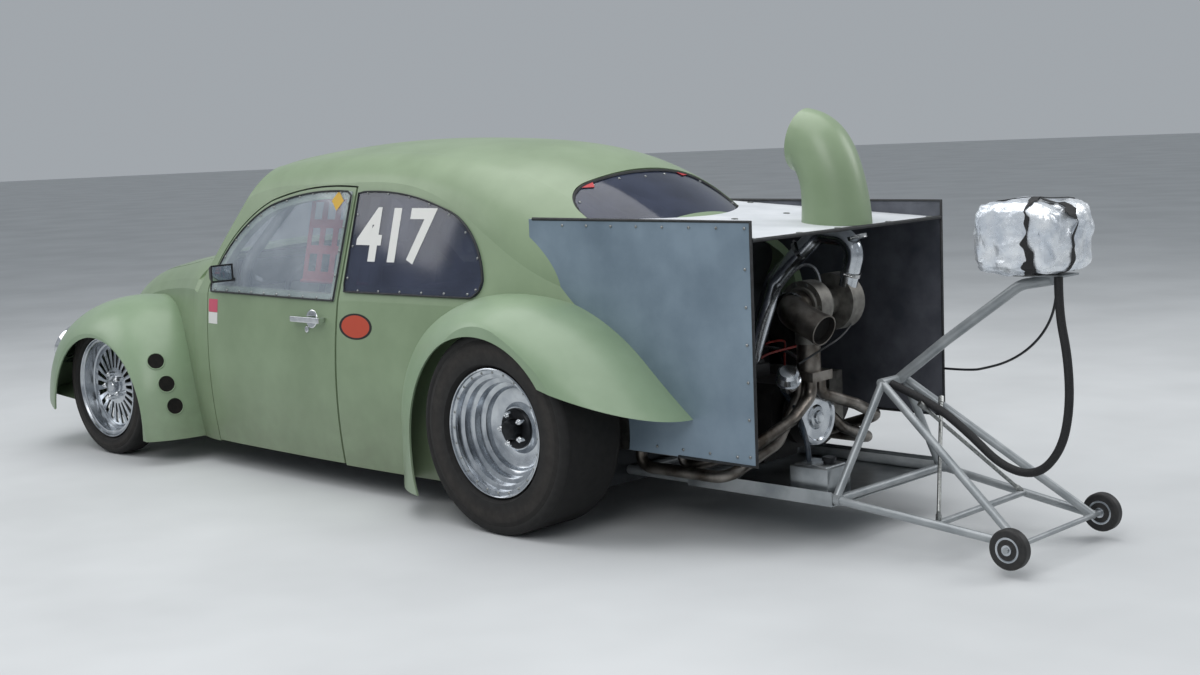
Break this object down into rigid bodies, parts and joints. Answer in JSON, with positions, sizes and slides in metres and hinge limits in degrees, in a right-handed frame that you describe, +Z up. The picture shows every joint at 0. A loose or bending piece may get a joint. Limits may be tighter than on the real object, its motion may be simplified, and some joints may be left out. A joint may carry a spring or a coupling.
{
  "type": "drag racing car",
  "caption": "Rounded rear-engined drag racing saloon with an open engine bay, wheelie bars, slick rear tyres and a braking parachute pack.",
  "frame": {"origin": "on the ground below the middle of the car's length and width", "axes": "+X forward along the car, +Y to the car's left, +Z up"},
  "size_m": [4.595, 1.56, 1.3045],
  "materials": {
    "body_paint": "satin",
    "clear_pane": "clear",
    "sheet_paint": "satin",
    "deck_paint": "satin",
    "polished_rim": "polished",
    "tyre": "matte",
    "bare_steel": "brushed",
    "cast_metal": "cast",
    "dark_metal": "matte",
    "tube_paint": "gloss",
    "tray_metal": "mill",
    "floor_metal": "mill",
    "pack_foil": "metallised",
    "strap_web": "woven",
    "cable_sleeve": "matte",
    "seat_shell": "matte",
    "net_web": "woven",
    "grip": "matte"
  },
  "bodies": {
    "body": {"left_quarter": "body_paint", "left_quarter_pane": "clear_pane", "left_front_fender": "body_paint", "left_rear_fender": "body_paint", "left_wheel_tub": "floor_metal", "left_side_panel": "sheet_paint", "right_quarter": "body_paint", "right_quarter_pane": "clear_pane", "right_front_fender": "body_paint", "right_rear_fender": "body_paint", "right_wheel_tub": "floor_metal", "right_side_panel": "sheet_paint", "roof_panel": "body_paint", "windscreen": "clear_pane", "rear_window": "clear_pane", "front_body": "body_paint", "floor_pan": "floor_metal", "rear_bulkhead": "floor_metal", "rear_deck": "deck_paint", "air_scoop": "body_paint", "front_beam": "dark_metal", "gearbox": "cast_metal", "axle_tubes": "dark_metal", "engine_case": "dark_metal", "cylinder_banks": "cast_metal", "engine_cradle": "tube_paint", "belly_tray": "tray_metal", "turbocharger": "cast_metal", "charge_pipe": "polished_rim", "header_pipes": "bare_steel", "dump_pipe": "bare_steel", "wheelie_bars": "tube_paint", "chute_pack": "pack_foil", "chute_mount": "tube_paint", "chute_strap": "strap_web", "release_cable": "cable_sleeve", "roll_cage": "tube_paint", "seat": "seat_shell", "steering_wheel": "grip", "window_net": "net_web"},
    "left_door": {"left_door": "body_paint", "left_door_pane": "clear_pane"},
    "right_door": {"right_door": "body_paint", "right_door_pane": "clear_pane"},
    "front_lid": {"front_lid": "body_paint"},
    "left_knuckle": {"left_knuckle": "dark_metal"},
    "right_knuckle": {"right_knuckle": "dark_metal"},
    "left_front_wheel": {"left_front_tyre": "tyre", "left_front_rim": "polished_rim"},
    "left_rear_wheel": {"left_rear_tyre": "tyre", "left_rear_rim": "polished_rim"},
    "left_bar_wheel": {"left_bar_wheel": "polished_rim"},
    "right_front_wheel": {"right_front_tyre": "tyre", "right_front_rim": "polished_rim"},
    "right_rear_wheel": {"right_rear_tyre": "tyre", "right_rear_rim": "polished_rim"},
    "right_bar_wheel": {"right_bar_wheel": "polished_rim"}
  },
  "joints": [
    {"name": "left_door_hinge", "type": "hinge", "parent": "body", "child": "left_door", "pos_m": [1.1045, 0.616, 0.4], "axis": [0, 0, -1], "range_deg": [0, 65]},
    {"name": "left_steer", "type": "hinge", "parent": "body", "child": "left_knuckle", "pos_m": [1.7225, 0.545, 0.281], "axis": [0, 0, 1], "range_deg": [-15, 15]},
    {"name": "left_front_spin", "type": "hinge", "parent": "left_knuckle", "child": "left_front_wheel", "pos_m": [1.7225, 0.66, 0.281], "axis": [0, 1, 0], "continuous": true},
    {"name": "left_rear_spin", "type": "hinge", "parent": "body", "child": "left_rear_wheel", "pos_m": [-0.6775, 0.6, 0.328], "axis": [0, 1, 0], "continuous": true},
    {"name": "left_bar_spin", "type": "hinge", "parent": "body", "child": "left_bar_wheel", "pos_m": [-2.2255, 0.267, 0.08], "axis": [0, 1, 0], "continuous": true},
    {"name": "right_door_hinge", "type": "hinge", "parent": "body", "child": "right_door", "pos_m": [1.1045, -0.616, 0.4], "axis": [0, 0, 1], "range_deg": [0, 65]},
    {"name": "right_steer", "type": "hinge", "parent": "body", "child": "right_knuckle", "pos_m": [1.7225, -0.545, 0.281], "axis": [0, 0, 1], "range_deg": [-15, 15]},
    {"name": "right_front_spin", "type": "hinge", "parent": "right_knuckle", "child": "right_front_wheel", "pos_m": [1.7225, -0.66, 0.281], "axis": [0, 1, 0], "continuous": true},
    {"name": "right_rear_spin", "type": "hinge", "parent": "body", "child": "right_rear_wheel", "pos_m": [-0.6775, -0.6, 0.328], "axis": [0, 1, 0], "continuous": true},
    {"name": "right_bar_spin", "type": "hinge", "parent": "body", "child": "right_bar_wheel", "pos_m": [-2.2255, -0.267, 0.08], "axis": [0, 1, 0], "continuous": true},
    {"name": "lid_hinge", "type": "hinge", "parent": "body", "child": "front_lid", "pos_m": [1.3155, 0, 0.843], "axis": [0, -1, 0], "range_deg": [0, 50]}
  ],
  "couplings": [
    {"joint": "right_steer", "follows": "left_steer", "ratio": 1}
  ]
}
